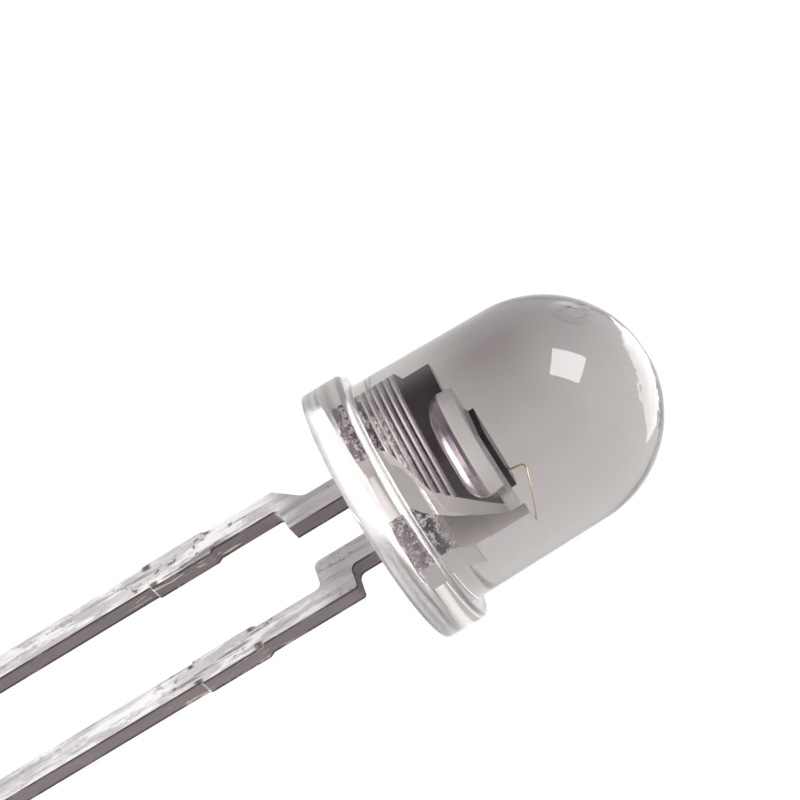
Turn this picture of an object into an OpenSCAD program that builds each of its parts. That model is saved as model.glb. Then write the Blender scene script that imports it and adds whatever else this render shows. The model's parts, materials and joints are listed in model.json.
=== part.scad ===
// Round through hole lamp, 5 mm, in clear epoxy: a stamped leadframe with a die on its
// header, cast into a domed lens with a flange. Two leads leave the base.
//
// Each piece is drawn upright in the lamp's own frame, in millimetres. The axis of the
// dome is +Z, the base of the flange is z = 0, the cathode side is +X, and +Y is normal
// to the sheet that the leads are stamped from. at_rest() then lays the lamp down as it
// comes to rest on a table, on the edge of its flange and on the tips of both leads.

/* [Lens] */
// Diameter of the round body where it leaves the flange
body_d = 5; // [4.8:0.05:5.2]
// Draft of the body wall, in degrees
body_draft = 1.2; // [0.5:0.1:2]
// Height of the centre of the dome above the base
dome_z = 4; // [3.8:0.01:5.5]
// Width of the ledge that the flange leaves outside the body
flange_ledge = 0.38; // [0.32:0.01:0.7]
// Thickness of the flange
flange_h = 0.95; // [0.8:0.01:1.4]
// Distance that the cathode flat stands outside the body wall
flat_proud = 0.02; // [0.01:0.01:0.1]
// Distance that the two corners of the flat are cut back from the rim of the flange
flat_ease = 0.08; // [0.02:0.01:0.12]
// Edge radius of the flange at its base
base_edge_r = 0.1; // [0.05:0.01:0.2]
// Edge radius of the flange on the dome side
rim_edge_r = 0.14; // [0.05:0.01:0.25]
// Fillet between the flange and the body
root_r = 0.06; // [0.02:0.01:0.1]
// Depth to which the resin sank inside the rim of its base as it cured
sink_d = 0.33; // [0.2:0.01:0.34]
// Width of the rim that it left round the sunk surface
sink_rim = 0.16; // [0.12:0.01:0.3]

/* [Leads] */
// Thickness of the sheet that the leadframe is stamped from
sheet_t = 0.55; // [0.4:0.01:0.6]
// Pitch of the two leads, centre to centre
lead_pitch = 2.54; // [2.4:0.01:2.8]
// Width of the leads below the tie bar stubs
lead_w = 0.46; // [0.4:0.01:0.5]
// Width of the leads between the kink and the stubs
neck_w = 0.42; // [0.38:0.01:0.5]
// Distance that the pair of leads sits off the axis, to the cathode side
lead_shift = 0.12; // [0:0.01:0.15]
// Length of the cathode lead below the base
cathode_len = 29.3; // [20:0.1:32]
// Length of the anode lead below the base
anode_len = 31.2; // [22:0.1:34]
// Width of the strips that pass through the base
strip_w = 0.48; // [0.42:0.01:0.54]
// Inner edge of the cathode strip, from the axis
cathode_strip_x = 0.65; // [0.55:0.01:0.7]
// Inner edge of the anode strip, from the axis
anode_strip_x = 0.37; // [0.32:0.01:0.45]
// Depth of the foot of the cathode's kink below the base
kink_z = 1.65; // [1.5:0.01:2]
// Height of the web that carries the cathode lead sideways
web_h = 0.56; // [0.45:0.01:0.65]
// Height of the web that carries the anode lead sideways
anode_web_h = 0.66; // [0.55:0.01:0.8]
// Distance that the kink and the upper stub of the anode lead sit above the cathode's
anode_lift = 0.13; // [0:0.01:0.2]

/* [Tie bar stubs] */
// Depth of the top of the cathode's stub below the base
stub_z = 3.25; // [2.9:0.05:4]
// Length of the upper stubs along the lead
stub_len = 1.55; // [1:0.05:2]
// Distance that a stub stands proud of each edge of the lead
stub_proud = 0.06; // [0.02:0.01:0.12]
// Depth of the lower stub on the anode lead below the base
low_stub_z = 11.1; // [9:0.1:14]
// Length of that lower stub
low_stub_len = 0.9; // [0.6:0.05:1.4]

/* [Anvil and header] */
// Half width of the leadframe head
head_half_w = 1.46; // [1.4:0.01:1.6]
// Height at which the strips widen into the head
shoulder_z = 0.36; // [0.25:0.01:0.45]
// Height of the anvil
anvil_z = 2.52; // [2.42:0.01:2.6]
// Height of the notch in the outer edge of the anvil
notch_z = 1.8; // [1.78:0.01:2.1]
// Depth of that notch
notch_d = 0.13; // [0.05:0.01:0.2]
// Reach of the top of the anvil over the axis to the anode side
anvil_reach = 1.2; // [1.05:0.01:1.22]
// Height of the elbow in the lower edge of the anvil
elbow_z = 1.36; // [1.3:0.01:1.46]
// Distance of that elbow from the axis, to the anode side
elbow_x = 0.3; // [0.2:0.01:0.35]
// Number of grooves rolled across the anvil
groove_count = 6; // [2:1:7]
// Height of the lowest groove
groove_z = 0.96; // [0.85:0.01:0.98]
// Spacing of the grooves
groove_pitch = 0.15; // [0.12:0.01:0.15]
// Width of the grooves
groove_w = 0.1; // [0.06:0.01:0.11]
// Depth of the grooves
groove_d = 0.022; // [0.01:0.002:0.05]
// Radius of the round header that carries the die
header_r = 0.98; // [0.88:0.01:1.1]
// Height of the header's flat top
header_z = 2.69; // [2.64:0.01:2.8]
// Height of the header, its rounded bowl and its rim
header_h = 0.7; // [0.62:0.01:0.74]
// Corner radius of the header's bowl
bowl_r = 0.4; // [0.2:0.01:0.45]
// Draft of the header's rim, in degrees
rim_draft = 8; // [0:1:12]

/* [Post] */
// Height of the post that takes the bond wire
post_z = 2.87; // [2.8:0.01:3.1]
// Width of the top of the post
post_w = 0.28; // [0.22:0.01:0.3]
// Outer edge of the post, from the axis
post_x = 1.67; // [1.64:0.01:1.75]
// Height at which the post has flared to that edge
flare_z = 1.59; // [1.5:0.01:1.7]
// Height of the step where the post is coined thinner
coin_z = 1.92; // [1.8:0.01:2.1]
// Depth of the coined step on the front face
coin_d = 0.02; // [0.01:0.005:0.05]
// Depth of the coined step on the back face
coin_back_d = 0.1; // [0.02:0.01:0.14]

/* [Die and bond] */
// Side of the square die
die_w = 0.92; // [0.7:0.01:1]
// Thickness of the die
die_t = 0.18; // [0.12:0.01:0.25]
// Distance of the die's centre from the axis, to the anode side
die_x = 0.07; // [0:0.01:0.1]
// Turn of the die about the axis, in degrees
die_turn = 50; // [0:1:90]
// Thickness of the paste under the die
paste_t = 0.02; // [0.01:0.005:0.04]
// Height that the paste climbs up the sides of the die
paste_climb = 0.06; // [0.03:0.01:0.1]
// Width of the paste outside the die
paste_rim = 0.05; // [0.02:0.01:0.06]
// Diameter of the bond wire
wire_d = 0.032; // [0.026:0.001:0.05]
// Diameter of the ball bond on the die
ball_d = 0.1; // [0.08:0.005:0.12]
// Height of the ball bond
ball_h = 0.04; // [0.03:0.005:0.06]
// Distance of the ball bond from the centre of the die, to the anode side
ball_out = 0.4; // [0.2:0.01:0.45]
// Height above the die of the bend in the bond wire
bend_rise = 0.37; // [0.25:0.01:0.5]
// Radius of that bend
bend_r = 0.08; // [0.05:0.01:0.12]
// Distance of the wedge bond from the mid plane of the sheet
wedge_y = 0.1; // [0:0.01:0.12]

/* [Hidden] */
$fn = 64;

// Segments of a quarter of the dome, and of each rounded corner of an outline
dome_steps = 20;
corner_steps = 5;

// Lens
body_r = body_d / 2;
flange_r = body_r + flange_ledge;
flange_d = 2 * flange_r;
sink_r = flange_r - sink_rim;
dome_r = (body_r - (dome_z - flange_h) * tan(body_draft)) * cos(body_draft);
flat_x = body_r + flat_proud;
flat_turn = acos(flat_x / flange_r);
flat_half_w = (flange_r - flat_ease - flat_x * cos(flat_turn)) / sin(flat_turn);

// Leads
lead_x = lead_pitch / 2;
cathode_x = lead_x + lead_shift;
anode_x = lead_x - lead_shift;
strip_in = cathode_strip_x;
strip_out = cathode_strip_x + strip_w;
anode_out = anode_strip_x + strip_w;
anode_kink_z = kink_z - anode_lift;
anode_stub_z = stub_z - anode_lift;
web_slope = 0.06;
kink_r = 0.15;
stub_ramp = 0.1;
stub_foot = stub_z + stub_len;
anode_stub_foot = anode_stub_z + stub_len;
low_stub_foot = low_stub_z + low_stub_len;

// Anvil, header and post
notch_ramp = 0.12;
anvil_fall = 0.42;
post_in = post_x - post_w;
slot_foot_z = 0.82;
header_top_r = header_r - (header_h - bowl_r) * tan(rim_draft);

// Die and bond
die_z = header_z + paste_t;
die_top = die_z + die_t;
ball_x = die_x + ball_out;
wedge_x = post_x - post_w / 2;
wedge_r = 0.05;
wedge_h = 0.02;
bend_lean = 0.04;
wire_sides = 8;

// Attitude at rest: the tilt lifts the dome, and the roll lets both tips touch the table
rest_arm = flange_r - base_edge_r - sheet_t / 2;
rest_reach = cathode_len + base_edge_r
    + (cathode_x + lead_w / 2) * (anode_len - cathode_len) / lead_pitch;
rest_tilt = atan(rest_arm / rest_reach) + asin(base_edge_r / norm([rest_arm, rest_reach]));
rest_roll = asin((anode_len - cathode_len) * tan(rest_tilt) / lead_pitch);
rest_z = (flange_r - base_edge_r) * cos(rest_tilt) - base_edge_r * sin(rest_tilt) + base_edge_r;

// Extent of the lamp at rest along and across the table, seen from the centre of its base
tip_top = sheet_t / 2 * cos(rest_roll) + (anode_x + lead_w / 2) * sin(rest_roll);
front_x = dome_z * cos(rest_tilt) + dome_r;
back_x = -anode_len * cos(rest_tilt) - tip_top * sin(rest_tilt);
flat_y = flat_x * cos(rest_roll) + flat_half_w * sin(rest_roll);

// Lays the lamp down, its axis along +X and the centre of its footprint at the origin
module at_rest() {
    translate([-(front_x + back_x) / 2, (flange_r - flat_y) / 2, rest_z])
        rotate([0, -rest_tilt, 0])
            rotate([90, 0, 90])
                rotate([0, 0, -rest_roll])
                    children();
}

function unit(v) = v / norm(v);

// Points of the arc of radius r that rounds corner p between its neighbours a and b
function corner_arc(p, a, b, r) =
    let (
        u = unit(a - p),
        v = unit(b - p),
        half = acos(u * v) / 2,
        centre = p + unit(u + v) * r / sin(half),
        spoke = p + u * r / tan(half) - centre,
        start = atan2(spoke.y, spoke.x),
        sweep = (cross(u, v) > 0 ? -1 : 1) * (180 - 2 * half)
    )
    [for (i = [0 : corner_steps])
        centre + r * [cos(start + sweep * i / corner_steps), sin(start + sweep * i / corner_steps)]];

// Outline whose corners are given as [x, y, radius], where a radius of 0 leaves one sharp
function rounded(corners) =
    let (n = len(corners), xy = [for (c = corners) [c.x, c.y]])
    [for (i = [0 : n - 1])
        each corners[i].z > 0
            ? corner_arc(xy[i], xy[(i + n - 1) % n], xy[(i + 1) % n], corners[i].z)
            : [xy[i]]];

// One blank of the sheet, from an outline in the plane of the sheet
module stamped(corners) {
    rotate([90, 0, 0])
        linear_extrude(sheet_t, center = true)
            polygon(rounded(corners));
}

// Half section of the lens: a flange with rounded edges, a drafted wall and a round dome
module lens_section() {
    polygon(concat(
        rounded([
            [0, 0, 0],
            [flange_r, 0, base_edge_r],
            [flange_r, flange_h, rim_edge_r],
            [body_r, flange_h, root_r],
            [dome_r * cos(body_draft), dome_z + dome_r * sin(body_draft), 0]
        ]),
        [for (i = [1 : dome_steps])
            let (lift = body_draft + (90 - body_draft) * i / dome_steps)
            [dome_r * cos(lift), dome_z + dome_r * sin(lift)]]
    ));
}

// Room under the sunk surface of the resin, with a round foot to its rim
module sunk_base() {
    intersection() {
        rotate_extrude()
            polygon(rounded([
                [0, -flange_h, 0],
                [sink_r, -flange_h, 0],
                [sink_r, sink_d, sink_d],
                [0, sink_d, 0]
            ]));
        translate([-flange_r, -flange_r, -2 * flange_h])
            cube([flange_r + flat_x - sink_rim, flange_d, 4 * flange_h]);
    }
}

// Whole lens, before the metal takes its room: the flange has its flat on the cathode side
module lens_form() {
    difference() {
        rotate_extrude() lens_section();
        sunk_base();
        translate([flat_x, -flange_r, -flange_h])
            cube([flange_d, flange_d, 3 * flange_h]);
        for (turn = [-flat_turn, flat_turn])
            rotate([0, 0, turn])
                translate([flange_r - flat_ease, -flange_r, -flange_h])
                    cube([flange_d, flange_d, 3 * flange_h]);
    }
}

// V grooves rolled across the front of the anvil, so that the resin grips it
module grooves() {
    for (i = [0 : groove_count - 1])
        translate([0, sheet_t / 2, groove_z + i * groove_pitch])
            rotate([90, 0, 90])
                linear_extrude(2 * flange_d, center = true)
                    polygon([[groove_d, -groove_w], [groove_d, groove_w], [-groove_d, 0]]);
}

// Round header coined on top of the anvil: a bowl with an upright rim and a flat top
module header() {
    translate([0, 0, header_z - header_h])
        rotate_extrude()
            polygon(rounded([
                [0, 0, 0],
                [header_r, 0, bowl_r],
                [header_top_r, header_h, 0],
                [0, header_h, 0]
            ]));
}

module cathode_form() {
    difference() {
        stamped([
            [cathode_x - lead_w / 2, -cathode_len, 0],
            [cathode_x + lead_w / 2, -cathode_len, 0],
            [cathode_x + lead_w / 2, -stub_foot, 0],
            [cathode_x + neck_w / 2 + stub_proud, -stub_foot + stub_ramp / 2, 0],
            [cathode_x + neck_w / 2 + stub_proud, -stub_z - stub_ramp, 0],
            [cathode_x + neck_w / 2, -stub_z, 0],
            [cathode_x + neck_w / 2, -kink_z, 0],
            [strip_out, -kink_z + web_h, 2 * kink_r],
            [strip_out, shoulder_z, 0],
            [head_half_w, shoulder_z, stub_proud],
            [head_half_w, notch_z, 0],
            [head_half_w - notch_d, notch_z + notch_ramp, 0],
            [head_half_w - notch_d, anvil_z, 0],
            [-anvil_reach, anvil_z, 0],
            [-elbow_x, elbow_z, kink_r],
            [strip_in, elbow_z - anvil_fall, 2 * kink_r],
            [strip_in, -kink_z, 0],
            [cathode_x - neck_w / 2, -kink_z - web_slope, kink_r],
            [cathode_x - neck_w / 2, -stub_z, 0],
            [cathode_x - neck_w / 2 - stub_proud, -stub_z - stub_ramp, 0],
            [cathode_x - neck_w / 2 - stub_proud, -stub_foot + stub_ramp / 2, 0],
            [cathode_x - lead_w / 2, -stub_foot, 0]
        ]);
        grooves();
    }
    header();
}

module anode_form() {
    difference() {
        stamped([
            [-anode_x + lead_w / 2, -anode_len, 0],
            [-anode_x + lead_w / 2, -anode_stub_foot, 0],
            [-anode_x + neck_w / 2 + stub_proud, -anode_stub_foot + stub_ramp / 2, 0],
            [-anode_x + neck_w / 2 + stub_proud, -anode_stub_z - stub_ramp, 0],
            [-anode_x + neck_w / 2, -anode_stub_z, 0],
            [-anode_x + neck_w / 2, -anode_kink_z - web_slope, kink_r],
            [-anode_strip_x, -anode_kink_z, kink_r],
            [-anode_strip_x, slot_foot_z, 0],
            [-anode_strip_x - kink_r, slot_foot_z + kink_r, kink_r / 2],
            [-(anode_strip_x + post_in) / 2, (slot_foot_z + anvil_z) / 2 - kink_r, 2 * kink_r],
            [-post_in, anvil_z, kink_r],
            [-post_in, post_z, 0],
            [-post_x, post_z, 0],
            [-post_x, flare_z, kink_r],
            [-head_half_w, flare_z - 2 * (post_x - head_half_w), kink_r],
            [-head_half_w, shoulder_z, stub_proud],
            [-anode_out, shoulder_z, 0],
            [-anode_out, -anode_kink_z + anode_web_h, kink_r],
            [-anode_x - neck_w / 2, -anode_kink_z + anode_web_h - web_slope, kink_r / 2],
            [-anode_x - neck_w / 2, -anode_stub_z, 0],
            [-anode_x - neck_w / 2 - stub_proud, -anode_stub_z - stub_ramp, 0],
            [-anode_x - neck_w / 2 - stub_proud, -anode_stub_foot + stub_ramp / 2, 0],
            [-anode_x - lead_w / 2, -anode_stub_foot, 0],
            [-anode_x - lead_w / 2, -low_stub_z, 0],
            [-anode_x - lead_w / 2 - stub_proud, -low_stub_z - stub_ramp, 0],
            [-anode_x - lead_w / 2 - stub_proud, -low_stub_foot + stub_ramp / 2, 0],
            [-anode_x - lead_w / 2, -low_stub_foot, 0],
            [-anode_x - lead_w / 2, -anode_len, 0]
        ]);
        translate([-flange_r, sheet_t / 2 - coin_d, coin_z])
            cube([flange_r, sheet_t, post_z]);
        translate([-flange_r, -3 * sheet_t / 2 + coin_back_d, coin_z])
            cube([flange_r, sheet_t, post_z]);
    }
}

module chip_form() {
    translate([-die_x, 0, die_z])
        rotate([0, 0, die_turn])
            translate([-die_w / 2, -die_w / 2, 0])
                cube([die_w, die_w, die_t]);
}

// Square pad of the die's outline, wider by a rim all round
module paste_pad(rim, thickness) {
    rotate([0, 0, die_turn])
        linear_extrude(thickness)
            square(die_w + 2 * rim, center = true);
}

// Conductive paste: a film under the die with a fillet up its sides, kept on the header
module paste_form() {
    difference() {
        intersection() {
            hull() {
                translate([-die_x, 0, header_z]) paste_pad(paste_rim, paste_t);
                translate([-die_x, 0, header_z]) paste_pad(paste_t / 2, paste_t + paste_climb);
            }
            translate([0, 0, header_z])
                cylinder(h = post_z, r = header_top_r);
        }
        chip_form();
    }
}

// Wire of the given diameter through a list of points, with a ring of corners at each point
module drawn_wire(points, diameter) {
    last = len(points) - 1;
    rings = [for (i = [0 : last])
        let (
            along = unit(points[min(i + 1, last)] - points[max(i - 1, 0)]),
            side = unit(cross(along, [0, 1, 0])),
            up = cross(side, along)
        )
        each [for (k = [0 : wire_sides - 1])
            points[i] + diameter / 2 * (cos(k * 360 / wire_sides) * side + sin(k * 360 / wire_sides) * up)]];
    walls = [for (i = [0 : last - 1], k = [0 : wire_sides - 1])
        let (this = i * wire_sides, next = this + wire_sides, turn = (k + 1) % wire_sides)
        each [[this + k, this + turn, next + turn], [this + k, next + turn, next + k]]];
    foot = [for (k = [wire_sides - 1 : -1 : 0]) k];
    head = [for (k = [0 : wire_sides - 1]) last * wire_sides + k];
    polyhedron(rings, concat([foot, head], walls));
}

// Bond wire: a ball on the die, a bend, and a wedge pressed on to the top of the post
module wire_form() {
    translate([-ball_x, 0, die_top])
        cylinder(h = ball_h, d = ball_d, $fn = 12);
    translate([-wedge_x, -wedge_y, post_z])
        cylinder(h = wedge_h, r = wedge_r, $fn = 12);
    path = rounded([
        [ball_x, die_top + ball_h / 2, 0],
        [ball_x + bend_lean, die_top + bend_rise, bend_r],
        [wedge_x, post_z + wire_d / 2, 0]
    ]);
    drawn_wire([for (p = path) [-p.x, -wedge_y * (p.x - ball_x) / (wedge_x - ball_x), p.y]], wire_d);
}

module lens() {
    at_rest() color([0.8, 0.79, 0.77, 0.35])
        difference() {
            lens_form();
            cathode_form();
            anode_form();
            chip_form();
            paste_form();
            wire_form();
        }
}

module cathode_lead() {
    at_rest() color([0.78, 0.77, 0.76]) cathode_form();
}

module anode_lead() {
    at_rest() color([0.75, 0.74, 0.73]) anode_form();
}

module chip() {
    at_rest() color([0.08, 0.07, 0.09]) chip_form();
}

module die_attach() {
    at_rest() color([0.6, 0.61, 0.64]) paste_form();
}

module bond_wire() {
    at_rest() color([0.85, 0.65, 0.35]) wire_form();
}

lens();
cathode_lead();
anode_lead();
chip();
die_attach();
bond_wire();
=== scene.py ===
import json
import math

import bmesh
import bpy
from mathutils import Matrix, Quaternion, Vector


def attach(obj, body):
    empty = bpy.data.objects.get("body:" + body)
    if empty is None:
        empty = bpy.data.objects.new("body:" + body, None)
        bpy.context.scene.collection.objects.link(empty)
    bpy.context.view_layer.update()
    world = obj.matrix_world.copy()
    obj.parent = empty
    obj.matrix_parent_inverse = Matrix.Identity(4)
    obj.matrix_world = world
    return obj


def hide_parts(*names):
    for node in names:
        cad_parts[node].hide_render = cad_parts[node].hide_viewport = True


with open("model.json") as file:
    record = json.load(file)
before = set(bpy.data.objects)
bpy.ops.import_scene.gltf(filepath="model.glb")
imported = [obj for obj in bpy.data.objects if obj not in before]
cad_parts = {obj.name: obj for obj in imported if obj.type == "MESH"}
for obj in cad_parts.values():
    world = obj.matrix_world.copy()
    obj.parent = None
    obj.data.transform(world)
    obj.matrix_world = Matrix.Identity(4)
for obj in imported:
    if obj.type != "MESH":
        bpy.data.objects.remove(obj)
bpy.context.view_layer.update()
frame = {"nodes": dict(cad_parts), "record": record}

MM = 0.001

# The stamped leadframe: two leads cut from one steel strip 0.55 mm thick, silvered where the
# resin covers them and dipped in tin below it. The cathode lead carries the grooved anvil and
# the header, the anode lead the wire post. The punch leaves smooth faces and dull edges.
HALF_SHEET = 0.275
HEADER_Z = 2.34
STUB_Z = -3.97
STUB_REACH = 0.715
mounts = {mount["name"]: mount for mount in frame["record"]["mounts"]}
base = Vector(mounts["seat"]["pos_m"])
toward_dome = -Vector(mounts["seat"]["axis"]).normalized()
across = Vector(mounts["cathode_tip"]["pos_m"]) - Vector(mounts["anode_tip"]["pos_m"])
toward_cathode = (across - across.dot(toward_dome) * toward_dome).normalized()
out_of_sheet = toward_dome.cross(toward_cathode)


class Reading:
    """One number or colour that varies over a finish. Its arithmetic adds Math nodes."""

    def __init__(self, finish, socket):
        self.finish = finish
        self.socket = socket

    def math(self, operation, *others):
        return self.finish.node("ShaderNodeMath", {"operation": operation}, self, *others)

    def __add__(self, other):
        return self.math("ADD", other)

    __radd__ = __add__

    def __mul__(self, other):
        return self.math("MULTIPLY", other)

    __rmul__ = __mul__

    def __sub__(self, other):
        return self.math("SUBTRACT", other)

    def __rsub__(self, other):
        return self.finish.node("ShaderNodeMath", {"operation": "SUBTRACT"}, other, self)

    def ramp(self, low, high):
        """0 below low, 1 above high, and smooth between them."""
        return self.finish.node(
            "ShaderNodeMapRange", {"interpolation_type": "SMOOTHSTEP"}, self, low, high, 0.0, 1.0
        )


class Graph:
    """A node tree, in which each value that varies is a Reading."""

    def __init__(self, tree):
        self.tree = tree

    def plug(self, socket, value):
        if isinstance(value, Reading):
            self.tree.links.new(value.socket, socket)
        else:
            socket.default_value = value

    def node(self, kind, settings, *values, out=0, **named):
        made = self.tree.nodes.new(kind)
        for name, value in settings.items():
            setattr(made, name, value)
        for socket, value in zip(made.inputs, values):
            self.plug(socket, value)
        for name, value in named.items():
            self.plug(made.inputs[name], value)
        return Reading(self, made.outputs[out])


class Finish(Graph):
    """The finish of one kind of surface: a material with one main shader."""

    def __init__(self, name):
        self.material = bpy.data.materials.new(name)
        self.material.use_nodes = True
        super().__init__(self.material.node_tree)
        self.shader = self.tree.nodes["Principled BSDF"]
        self.output = self.tree.nodes["Material Output"]

    def set(self, **values):
        for name, value in values.items():
            socket_name = name.replace("_", " ").title().replace("Ior", "IOR")
            self.plug(self.shader.inputs[socket_name], value)

    def mix(self, share, low, high):
        """Colour low where share is 0 and high where it is 1."""
        mixed = self.tree.nodes.new("ShaderNodeMix")
        mixed.data_type = "RGBA"
        self.plug(mixed.inputs["Factor"], share)
        self.plug(mixed.inputs[6], low)
        self.plug(mixed.inputs[7], high)
        return Reading(self, mixed.outputs[2])

    def blend(self, share, low, high):
        """Number low where share is 0 and high where it is 1."""
        return low + share * (high - low)

    def place(self):
        """The point on the surface, in the row frame."""
        return self.node("ShaderNodeNewGeometry", {})

    def along(self, direction):
        """Distance from the centre of the base along a direction, in millimetres."""
        offset = self.node(
            "ShaderNodeVectorMath", {"operation": "SUBTRACT"}, self.place(), tuple(base)
        )
        return self.node(
            "ShaderNodeVectorMath", {"operation": "DOT_PRODUCT"}, offset, tuple(direction / MM), out=1
        )

    def facing(self, direction):
        """1 where the surface faces a direction, -1 where it faces away."""
        normal = self.node("ShaderNodeNewGeometry", {}, out=3)
        return self.node(
            "ShaderNodeVectorMath", {"operation": "DOT_PRODUCT"}, normal, tuple(direction), out=1
        )

    def grid(self, dome, cathode, sheet):
        """Texture coordinates in the lamp's own frame, stretched by a factor in each direction."""
        return self.node(
            "ShaderNodeCombineXYZ", {},
            self.along(toward_dome) * dome,
            self.along(toward_cathode) * cathode,
            self.along(out_of_sheet) * sheet,
        )

    def grain(self, coordinates, scale, detail=3.0, roughness=0.5):
        return self.node(
            "ShaderNodeTexNoise", {},
            Vector=coordinates, Scale=scale, Detail=detail, Roughness=roughness,
        )

    def seen(self):
        """1 for what the camera, metal and glass see, 0 for the light that falls on things."""
        path = self.tree.nodes.new("ShaderNodeLightPath").outputs
        camera_ray = Reading(self, path["Is Camera Ray"])
        glossy_ray = Reading(self, path["Is Glossy Ray"])
        transmission_ray = Reading(self, path["Is Transmission Ray"])
        return (camera_ray + glossy_ray + transmission_ray).math("MINIMUM", 1.0)

    def show_white(self, share):
        """Let the surface be seen as plain white by a share, and keep its shadows for the rest.

        The white is a little over 1, so that it stays white where the two mix.
        """
        white = self.tree.nodes.new("ShaderNodeEmission")
        white.inputs["Strength"].default_value = 1.05
        mixed = self.tree.nodes.new("ShaderNodeMixShader")
        self.plug(mixed.inputs[0], self.seen() * share)
        self.tree.links.new(self.shader.outputs[0], mixed.inputs[1])
        self.tree.links.new(white.outputs[0], mixed.inputs[2])
        self.tree.links.new(mixed.outputs[0], self.output.inputs["Surface"])

    def bump(self, height, strength, distance):
        made = self.tree.nodes.new("ShaderNodeBump")
        made.inputs["Strength"].default_value = strength
        made.inputs["Distance"].default_value = distance
        self.plug(made.inputs["Height"], height)
        self.plug(self.shader.inputs["Normal"], Reading(self, made.outputs[0]))


def plated(name, painted_face_shade, middle):
    """Tinned outside the lens, silvered inside it. Its middle is a distance toward the cathode."""
    tin = Finish(name)
    height = tin.along(toward_dome)
    cast_in = height.ramp(-0.02, 0.02)
    sheared = 1 - tin.facing(out_of_sheet).math("ABSOLUTE").ramp(0.5, 0.8)
    cloud = tin.grain(tin.grid(0.8, 1.6, 1.6), 1.0, 4.0, 0.6)

    # Below the base: dipped tin, pale and scratched along the lead, dull where it was sheared,
    # and torn and dirty where the tie bars were cut off.
    scratches = tin.grain(tin.grid(0.35, 7.0, 7.0), 1.0, 6.0, 0.7).ramp(0.53, 0.59)
    rubbed = tin.grain(tin.grid(0.6, 4.0, 4.0), 1.0, 6.0, 0.7).ramp(0.46, 0.56)
    pits = tin.grain(tin.grid(2.0, 3.5, 3.5), 1.5, 8.0, 0.75).ramp(0.57, 0.63)
    from_stubs = (height - STUB_Z).math("ABSOLUTE")
    at_stubs = 1 - from_stubs.ramp(0.9, 1.8)
    scuffed = ((scratches * 0.7 + pits) * (0.4 + at_stubs * 0.6)).math("MINIMUM", 1.0)
    tin_face = tin.mix(cloud.ramp(0.35, 0.65), (0.38, 0.365, 0.365, 1), (0.48, 0.465, 0.465, 1))
    tin_face = tin.mix(rubbed * (0.2 + height.ramp(-13, -6) * 0.6), tin_face, (0.70, 0.68, 0.68, 1))
    tin_face = tin.mix(height.ramp(-1.9, -1.2) * 0.8, tin_face, (0.33, 0.30, 0.31, 1))
    burrs = 1 - (from_stubs - STUB_REACH).math("ABSOLUTE").ramp(0.04, 0.14)
    from_middle = tin.along(toward_cathode) - middle + cloud * 0.2 - 0.1
    burrs = burrs * from_middle.math("ABSOLUTE").ramp(0.13, 0.18)
    burrs = burrs * tin.grain(tin.grid(6.0, 6.0, 6.0), 1.0, 3.0).ramp(0.36, 0.46)
    tin_face = tin.mix(scuffed.math("MAXIMUM", burrs) * 0.9, tin_face, (0.06, 0.045, 0.05, 1))
    tin_edge = tin.mix(cloud, (0.15, 0.125, 0.13, 1), (0.28, 0.235, 0.24, 1))
    from_sheet = tin.along(out_of_sheet).math("ABSOLUTE")
    # Painted shade: a dark line, broken by noise, along the top of each sheared side.
    arris_painted_shade = from_sheet.ramp(HALF_SHEET - 0.105, HALF_SHEET - 0.045)
    arris_painted_shade = arris_painted_shade * tin.grain(tin.grid(1.5, 6.0, 6.0), 1.0, 4.0).ramp(0.38, 0.50)
    tin_edge = tin.mix(arris_painted_shade * 0.8, tin_edge, (0.03, 0.02, 0.03, 1))
    torn = tin.grain(tin.grid(1.2, 7.0, 7.0), 1.0, 5.0, 0.7).ramp(0.58, 0.63) * at_stubs
    tin_edge = tin.mix(torn, tin_edge, (0.60, 0.52, 0.44, 1))

    # Inside the lens: silver, still smooth as it was rolled. The anvil's faces mirror the tent's dark
    # opening and are darkened further by painted shade, and all faces are darker near the base.
    # The grooves, the top and the coined rim carry a painted highlight, and the flecks on the foot
    # of each piece a painted sparkle.
    sparkle = tin.grain(tin.grid(9.0, 9.0, 9.0), 1.0, 4.0, 0.8).ramp(0.50, 0.60)
    flecked = tin.grain(tin.grid(0.9, 0.9, 0.9), 1.0, 1.0).ramp(0.46, 0.54)
    flecks_with_painted_sparkle = sparkle * flecked * (1 - height.ramp(1.1, 1.4))
    # Painted highlight: faces toward the dome, the header's coined rim and the flecks are painted near
    # white.
    upward = tin.facing(toward_dome).ramp(0.2, 0.34)
    proud = from_sheet.ramp(HALF_SHEET + 0.01, HALF_SHEET + 0.035)
    rim = proud * height.ramp(HEADER_Z, HEADER_Z + 0.06)
    painted_highlight = (upward + rim + flecks_with_painted_sparkle).math("MINIMUM", 1.0)
    # Each lead's silver face has its own painted shade; below about 1 mm from the base the faces are
    # darker.
    silver_face = tin.mix(height.ramp(1.0, 1.4), (0.33, 0.28, 0.32, 1), painted_face_shade)
    silver_face = tin.mix(painted_highlight, silver_face, (0.97, 0.96, 0.95, 1))
    silver_edge = tin.mix(cloud, (0.62, 0.60, 0.60, 1), (0.85, 0.83, 0.82, 1))
    # Painted shade: the proud sides under the header's rim are darker.
    painted_shade_under_rim = proud * (1 - rim) * height.ramp(1.6, 1.8)
    silver_edge = tin.mix(painted_shade_under_rim, silver_edge, (0.44, 0.39, 0.42, 1))
    silver_edge = tin.mix(painted_highlight, silver_edge, (0.95, 0.94, 0.93, 1))

    dipped = tin.mix(sheared, tin_face, tin_edge)
    silvered = tin.mix(sheared * (1 - rim), silver_face, silver_edge)
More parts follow.
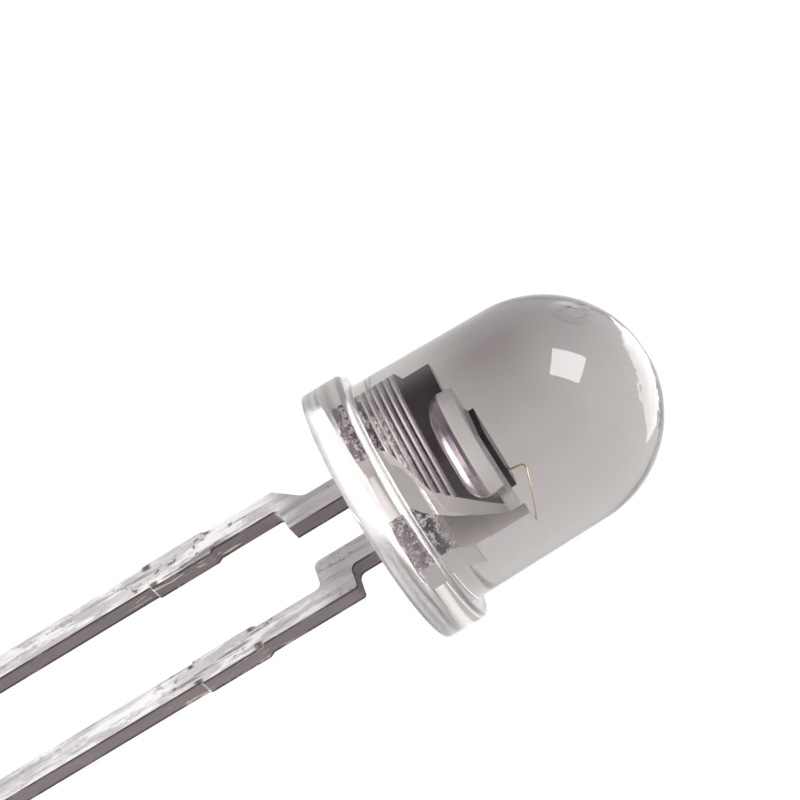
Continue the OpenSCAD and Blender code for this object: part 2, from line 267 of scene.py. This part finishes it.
    # The painted highlight also makes the rim nearly non-metal, so that it shows as a pale band.
    tin.set(
        base_color=tin.mix(cast_in, dipped, silvered),
        metallic=tin.blend(cast_in, 0.1, 0.9 - rim * 0.8),
        specular_ior_level=0.15,
        roughness=tin.blend(cast_in, 0.65 + scuffed * 0.1, 0.16 + painted_highlight * 0.25 + sheared * 0.15),
    )
    tin.bump((scuffed * -0.6 + cloud * 0.4) * (1 - cast_in) + flecks_with_painted_sparkle * cast_in, 0.4, 0.02 * MM)
    return tin.material


# Painted shade on the silver faces, one per lead: dark on the cathode's anvil, pale on the anode's
# post.
painted_face_shades = {"cathode": (0.34, 0.29, 0.33, 1), "anode": (0.97, 0.91, 0.90, 1)}
for name, painted_face_shade in painted_face_shades.items():
    middle = (Vector(mounts[name + "_tip"]["pos_m"]) - base).dot(toward_cathode) / MM
    lead_data = frame["nodes"][name + "_lead"].data
    lead_data.materials.clear()
    lead_data.materials.append(plated("plated_" + name, painted_face_shade, middle))

# The paste: silver filled epoxy that holds the die to the header and carries its current.
# It squeezes out under the die and climbs a little way up its sides.
paste = Finish("silver_paste")
flakes = paste.grain(paste.grid(1.0, 1.0, 1.0), 18.0, 4.0)
paste.set(
    base_color=paste.mix(flakes, (0.42, 0.43, 0.47, 1), (0.80, 0.81, 0.85, 1)),
    metallic=0.6,
    roughness=0.45,
)
paste.bump(flakes, 0.4, 0.01 * MM)
frame["nodes"]["die_attach"].data.materials.clear()
frame["nodes"]["die_attach"].data.materials.append(paste.material)

# The die: a square of dark semiconductor, held by the paste. It was sawn from its wafer,
# so its sides are dull and streaked and its top is smooth.
die = Finish("dark_die")
saw_lines = die.grain(die.grid(2.0, 12.0, 12.0), 2.0, 4.0)
top_face = die.facing(toward_dome).ramp(0.5, 0.9)
sawn_side = die.mix(saw_lines, (0.004, 0.003, 0.005, 1), (0.02, 0.018, 0.022, 1))
die.set(
    base_color=die.mix(top_face, sawn_side, (0.07, 0.07, 0.09, 1)),
    roughness=0.5 - top_face * 0.25,
    specular_ior_level=0.15,
)
die.bump(saw_lines, 0.3, 0.01 * MM)
frame["nodes"]["chip"].data.materials.clear()
frame["nodes"]["chip"].data.materials.append(die.material)

# The bond wire: drawn gold, thinner than a hair, welded as a ball on the die, looped over,
# and pressed off as a wedge on the top of the post.
gold = Finish("gold_wire")
sheen = gold.grain(gold.grid(3.0, 3.0, 3.0), 6.0, 2.0)
gold.set(
    base_color=gold.mix(sheen, (0.84, 0.62, 0.36, 1), (1.0, 0.84, 0.58, 1)),
    metallic=1.0,
    roughness=0.25,
)
frame["nodes"]["bond_wire"].data.materials.clear()
frame["nodes"]["bond_wire"].data.materials.append(gold.material)

# The lens: clear epoxy cast round the leadframe in a polished mould, dome down, as one piece
# with a drafted body, a dome and a flange that is flat on the cathode side. At the mould's
# open side the resin has sunk inside its rim as it cured, which leaves a matte, cloudy base.
BODY_R = 2.5
BODY_DRAFT = math.radians(1.2)
DOME_Z = 4.0
FLANGE_R = 2.88
FLANGE_H = 0.95
FLAT_X = 2.52
FLAT_EASE = 0.08
BASE_EDGE_R = 0.1
RIM_EDGE_R = 0.14
ROOT_R = 0.06
DOME_R = (BODY_R - (DOME_Z - FLANGE_H) * math.tan(BODY_DRAFT)) * math.cos(BODY_DRAFT)
LENS_SIDES = 384


def arc(centre, radius, start, end, steps):
    """Points of an arc in the half section, from angle start to angle end in degrees."""
    turns = [math.radians(start + (end - start) * i / steps) for i in range(steps + 1)]
    return [(centre[0] + radius * math.cos(t), centre[1] + radius * math.sin(t)) for t in turns]


flange_profile = (
    arc((FLANGE_R - BASE_EDGE_R, BASE_EDGE_R), BASE_EDGE_R, -90, 0, 10)
    + arc((FLANGE_R - RIM_EDGE_R, FLANGE_H - RIM_EDGE_R), RIM_EDGE_R, 0, 90, 14)
)
body_profile = (
    arc((BODY_R + ROOT_R, FLANGE_H + ROOT_R), ROOT_R, 270, 180, 8)
    + [(BODY_R - (z - FLANGE_H) * math.tan(BODY_DRAFT), z) for z in (1.5, 2.0, 2.5, 3.0, 3.5)]
    + arc((0, DOME_Z), DOME_R, math.degrees(BODY_DRAFT), 89.5, 90)
)
SINK_R = 2.72
SINK_D = 0.33
sunk_foot = arc((SINK_R - SINK_D, 0), SINK_D, 0, 90, 10)
sunk_rings = [r for r, z in sunk_foot] + [2.1, 1.75, 1.35, 0.9, 0.45]
FLAT_TURN = math.acos(FLAT_X / FLANGE_R)


def rim_radius(turn):
    """Radius of the flange at an angle from the cathode side, with the flat's corners eased."""
    rim = FLANGE_R
    eased = FLANGE_R - FLAT_EASE
    for cut_turn, reach in ((0, FLAT_X), (FLAT_TURN, eased), (-FLAT_TURN, eased)):
        along_cut = math.cos(turn - cut_turn)
        if along_cut > 0.5:
            rim = min(rim, reach / along_cut)
    return rim


def base_height(across_axis, turn):
    """Height of the free surface of the resin: a round foot to its rim, then a rippled floor."""
    short = 1 - min((SINK_R - across_axis) / SINK_D, 1)
    ripple = 0.02 * math.sin(3 * turn + 2.2 * across_axis) + 0.01 * math.sin(7 * turn - 3 * across_axis)
    return math.sqrt(max(1 - short * short, 0)) * (SINK_D + ripple)


lens_mesh = bmesh.new()
rows = []
for side in range(LENS_SIDES):
    turn = 2 * math.pi * side / LENS_SIDES
    rim = rim_radius(turn)
    column = [(r * rim / FLANGE_R, base_height(r, turn)) for r in reversed(sunk_rings)]
    column += [(max(r - FLANGE_R + rim, BODY_R + ROOT_R * 0.2), z) for r, z in flange_profile]
    column += body_profile
    ring = toward_cathode * math.cos(turn) + out_of_sheet * math.sin(turn)
    rows.append([lens_mesh.verts.new(base + (ring * r + toward_dome * z) * MM) for r, z in column])
tip = lens_mesh.verts.new(base + toward_dome * (DOME_Z + DOME_R) * MM)
foot = lens_mesh.verts.new(base + toward_dome * SINK_D * MM)
for side in range(LENS_SIDES):
    here, there = rows[side], rows[(side + 1) % LENS_SIDES]
    for k in range(len(here) - 1):
        lens_mesh.faces.new((here[k], there[k], there[k + 1], here[k + 1]))
    lens_mesh.faces.new((here[-1], there[-1], tip))
    lens_mesh.faces.new((there[0], here[0], foot))
bmesh.ops.recalc_face_normals(lens_mesh, faces=lens_mesh.faces)
for face in lens_mesh.faces:
    face.smooth = True
lens_data = bpy.data.meshes.new("epoxy_lens")
lens_mesh.to_mesh(lens_data)
lens_mesh.free()
lens = bpy.data.objects.new("epoxy_lens", lens_data)
bpy.context.scene.collection.objects.link(lens)

# The resin is clear and faintly streaked along its flow, and one side of the dome is darkened by
# painted shade in its colour. The sunk base is matte, and cloudy on its floor and toward the front,
# up to near the flat.
epoxy = Finish("clear_epoxy")
across_leads = epoxy.along(toward_cathode)
off_leads = epoxy.along(out_of_sheet)
height = epoxy.along(toward_dome)
from_axis = (across_leads.math("POWER", 2.0) + off_leads.math("POWER", 2.0)).math("SQRT")
sunk = (1 - from_axis.ramp(SINK_R - 0.02, SINK_R + 0.02)) * (1 - height.ramp(0.4, 0.45))
cloud_edge = across_leads + epoxy.grain(epoxy.grid(0.8, 0.8, 0.8), 1.0, 2.0) - 0.5
cloudy = (cloud_edge + off_leads * 0.6).ramp(0.2, 0.7)
cloudy = cloudy.math("MAXIMUM", off_leads.ramp(1.2, 1.9) * cloud_edge.ramp(-1.9, -1.3))
cloudy = cloudy.math("MAXIMUM", (1 - from_axis.ramp(2.2, 2.5)) * cloud_edge.ramp(-1.9, -1.0))
cloudy = cloudy * (1 - cloud_edge.ramp(1.1, 1.5))
flow = epoxy.grain(epoxy.grid(0.25, 0.8, 0.8), 1.0, 3.0, 0.6)
clear = epoxy.mix(flow, (0.90, 0.89, 0.89, 1), (1.0, 0.99, 0.99, 1))
# Painted shade: the colour darkens toward one side of the body and the dome, and toward the top.
painted_shade_side = 0.85 * toward_cathode + 0.53 * out_of_sheet
painted_shade_on_dome = epoxy.along(painted_shade_side).ramp(-0.3, 2.3) * height.ramp(1.5, 3.8)
epoxy.set(
    base_color=epoxy.mix(painted_shade_on_dome, clear, (0.28, 0.24, 0.25, 1)),
    roughness=0.02 + sunk * (0.45 + cloudy * 0.5),
    ior=1.54,
    transmission_weight=1.0,
)

# Near its top the dome has a small wrinkled patch, where the resin stuck in the mould, and
# round that a faint swirl. Light fades with each millimetre of resin that it goes through.
WRINKLE_R = 0.5
wrinkle = base + (toward_dome * 5.6 + toward_cathode * 0.74 + out_of_sheet * 1.69) * MM
from_wrinkle = epoxy.node(
    "ShaderNodeVectorMath", {"operation": "DISTANCE"}, epoxy.place(), tuple(wrinkle), out=1
)
wrinkled = 1 - from_wrinkle.ramp(0.2 * MM, WRINKLE_R * MM)
folds = epoxy.grain(epoxy.grid(3.0, 3.0, 3.0), 1.0, 2.0)
swirl = epoxy.grain(epoxy.grid(1.0, 3.0, 3.0), 1.0, 2.0) * height.ramp(5.5, 6.0)
epoxy.bump(wrinkled * folds + swirl * 0.3, 1.0, 0.06 * MM)
depth = epoxy.tree.nodes.new("ShaderNodeVolumeAbsorption")
depth.inputs["Color"].default_value = (0.46, 0.42, 0.40, 1)
depth.inputs["Density"].default_value = 285.0
epoxy.tree.links.new(depth.outputs[0], epoxy.output.inputs["Volume"])
lens_data.materials.append(epoxy.material)
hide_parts("lens")
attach(lens, "root")

# The table: a sheet of white paper that the lamp lies on. It is seen as plain white, and
# keeps a soft shadow.
FLOOR_HALF = 0.6
floor_corners = [(-1, -1), (1, -1), (1, 1), (-1, 1)]
floor_data = bpy.data.meshes.new("table")
floor_data.from_pydata(
    [(x * FLOOR_HALF, y * FLOOR_HALF, 0) for x, y in floor_corners], [], [(0, 1, 2, 3)]
)
floor = bpy.data.objects.new("table", floor_data)
bpy.context.scene.collection.objects.link(floor)
paper = Finish("white_paper")
paper.set(base_color=(0.93, 0.93, 0.93, 1), roughness=0.9)
paper.show_white(0.88)
floor_data.materials.append(paper.material)

# The camera frames the head from the front of the sheet, turned 32 degrees to the anode's
# side and 6 degrees toward the dome, through a long lens. The axis slopes up to the right.
VIEW_TURN = math.radians(32)
VIEW_LIFT = math.radians(6.3)
to_camera = (
    math.cos(VIEW_LIFT) * (math.cos(VIEW_TURN) * out_of_sheet - math.sin(VIEW_TURN) * toward_cathode)
    + math.sin(VIEW_LIFT) * toward_dome
)
image_axis = (toward_dome - toward_dome.dot(to_camera) * to_camera).normalized()
image_side = -(toward_cathode - toward_cathode.dot(to_camera) * to_camera)
image_side = (image_side - image_side.dot(image_axis) * image_axis).normalized()
AXIS_SLOPE = math.radians(31.2)
image_right = math.cos(AXIS_SLOPE) * image_axis + math.sin(AXIS_SLOPE) * image_side
image_up = math.sin(AXIS_SLOPE) * image_axis - math.cos(AXIS_SLOPE) * image_side

IMAGE_SIZE = 800
PX_PER_MM = 49.36
BASE_X, BASE_Y = 375.0, 516.3
FRAME_MM = IMAGE_SIZE / PX_PER_MM
shift_right = (IMAGE_SIZE / 2 - BASE_X) / PX_PER_MM
shift_up = (BASE_Y - IMAGE_SIZE / 2) / PX_PER_MM
aim = base + MM * (shift_right * image_right + shift_up * image_up)
camera_data = bpy.data.cameras.new("camera")
camera_data.lens = 200
camera_data.sensor_width = 36
camera_data.clip_start = 0.002
camera = bpy.data.objects.new("camera", camera_data)
camera.rotation_mode = "QUATERNION"
camera_distance = FRAME_MM * MM * camera_data.lens / camera_data.sensor_width
camera.location = aim + to_camera * camera_distance
camera.rotation_quaternion = Matrix((image_right, image_up, to_camera)).transposed().to_quaternion()
bpy.context.scene.collection.objects.link(camera)
bpy.context.scene.camera = camera


# The studio's lamps: a square softbox over the dome, whose glint shows on it, a small panel
# under the tip of the dome, which lights the bright crescent there, and a panel behind the
# foot of the leads, which lights their faces. The camera itself sees neither panel.
def softbox(name, direction, distance, width, roll, power, target):
    """A square lamp of the given width and roll that faces the target from a direction."""
    data = bpy.data.lights.new(name, "AREA")
    data.shape = "SQUARE"
    data.size = width
    data.energy = power
    made = bpy.data.objects.new(name, data)
    made.location = target + direction.normalized() * distance
    made.rotation_mode = "QUATERNION"
    made.rotation_quaternion = direction.to_track_quat("Z", "Y") @ Quaternion((0, 0, 1), roll)
    bpy.context.scene.collection.objects.link(made)
    return made


dome_centre = base + toward_dome * DOME_Z * MM
GLINT_ANGLE = math.radians(53)
glint_side = 0.822 * image_axis - 0.569 * image_side
glint = math.cos(GLINT_ANGLE) * to_camera + math.sin(GLINT_ANGLE) * glint_side
softbox(
    "softbox", glint, distance=0.10, width=0.05, roll=math.radians(45), power=0.064,
    target=dome_centre,
)
ahead = Vector((toward_dome.x, toward_dome.y, 0)).normalized()
crown = base + toward_dome * (DOME_Z + DOME_R) * MM
panel_spot = Vector((crown.x, crown.y, 0.1 * MM)) + (ahead * 5.6 + toward_cathode * 0.5) * MM
low_panel = softbox(
    "low_panel", Vector((0, 0, -1)), distance=0, width=0.0075, roll=0, power=0.0005,
    target=panel_spot,
)
low_panel.visible_camera = False
behind = Vector((0, 0, 0.052)) - ahead
foot_panel = softbox(
    "foot_panel", behind, distance=0.20, width=0.02, roll=0, power=1.5, target=base
)
foot_panel.visible_camera = False

# The room: a white tent. It is open on the side that the sheet's front mirrors to the camera,
# which makes the anvil's face dark, and dim round the camera, which darkens the dome.
WALL_LEVEL = 1.05
world = bpy.data.worlds.new("studio")
bpy.context.scene.world = world
world.use_nodes = True
world.node_tree.nodes["Background"].inputs["Color"].default_value = (1, 1, 1, 1)
sky = Graph(world.node_tree)
way = sky.node("ShaderNodeTexCoord", {})


def toward(direction, low, high):
    """0 where the cosine with a direction is below low, 1 where it is above high."""
    cosine = sky.node(
        "ShaderNodeVectorMath", {"operation": "DOT_PRODUCT"}, way, tuple(direction), out=1
    )
    return cosine.ramp(low, high)


mirrored = 2 * out_of_sheet.dot(to_camera) * out_of_sheet - to_camera
opening = toward(mirrored, 0.35, 0.85)
opening = opening * (1 - toward(toward_dome, 0.0, 0.5)) * (1 - toward(-toward_dome, 0.3, 0.6))
opening = opening * toward(Vector((0, 0, 1)), 0.0, 0.6)
round_camera = toward(to_camera, 0.65, 0.97)
level = (1 - opening * 0.86) * (1 - round_camera * 0.57) * WALL_LEVEL
sky.plug(world.node_tree.nodes["Background"].inputs["Strength"], level)

bpy.context.scene.view_settings.view_transform = "Standard"
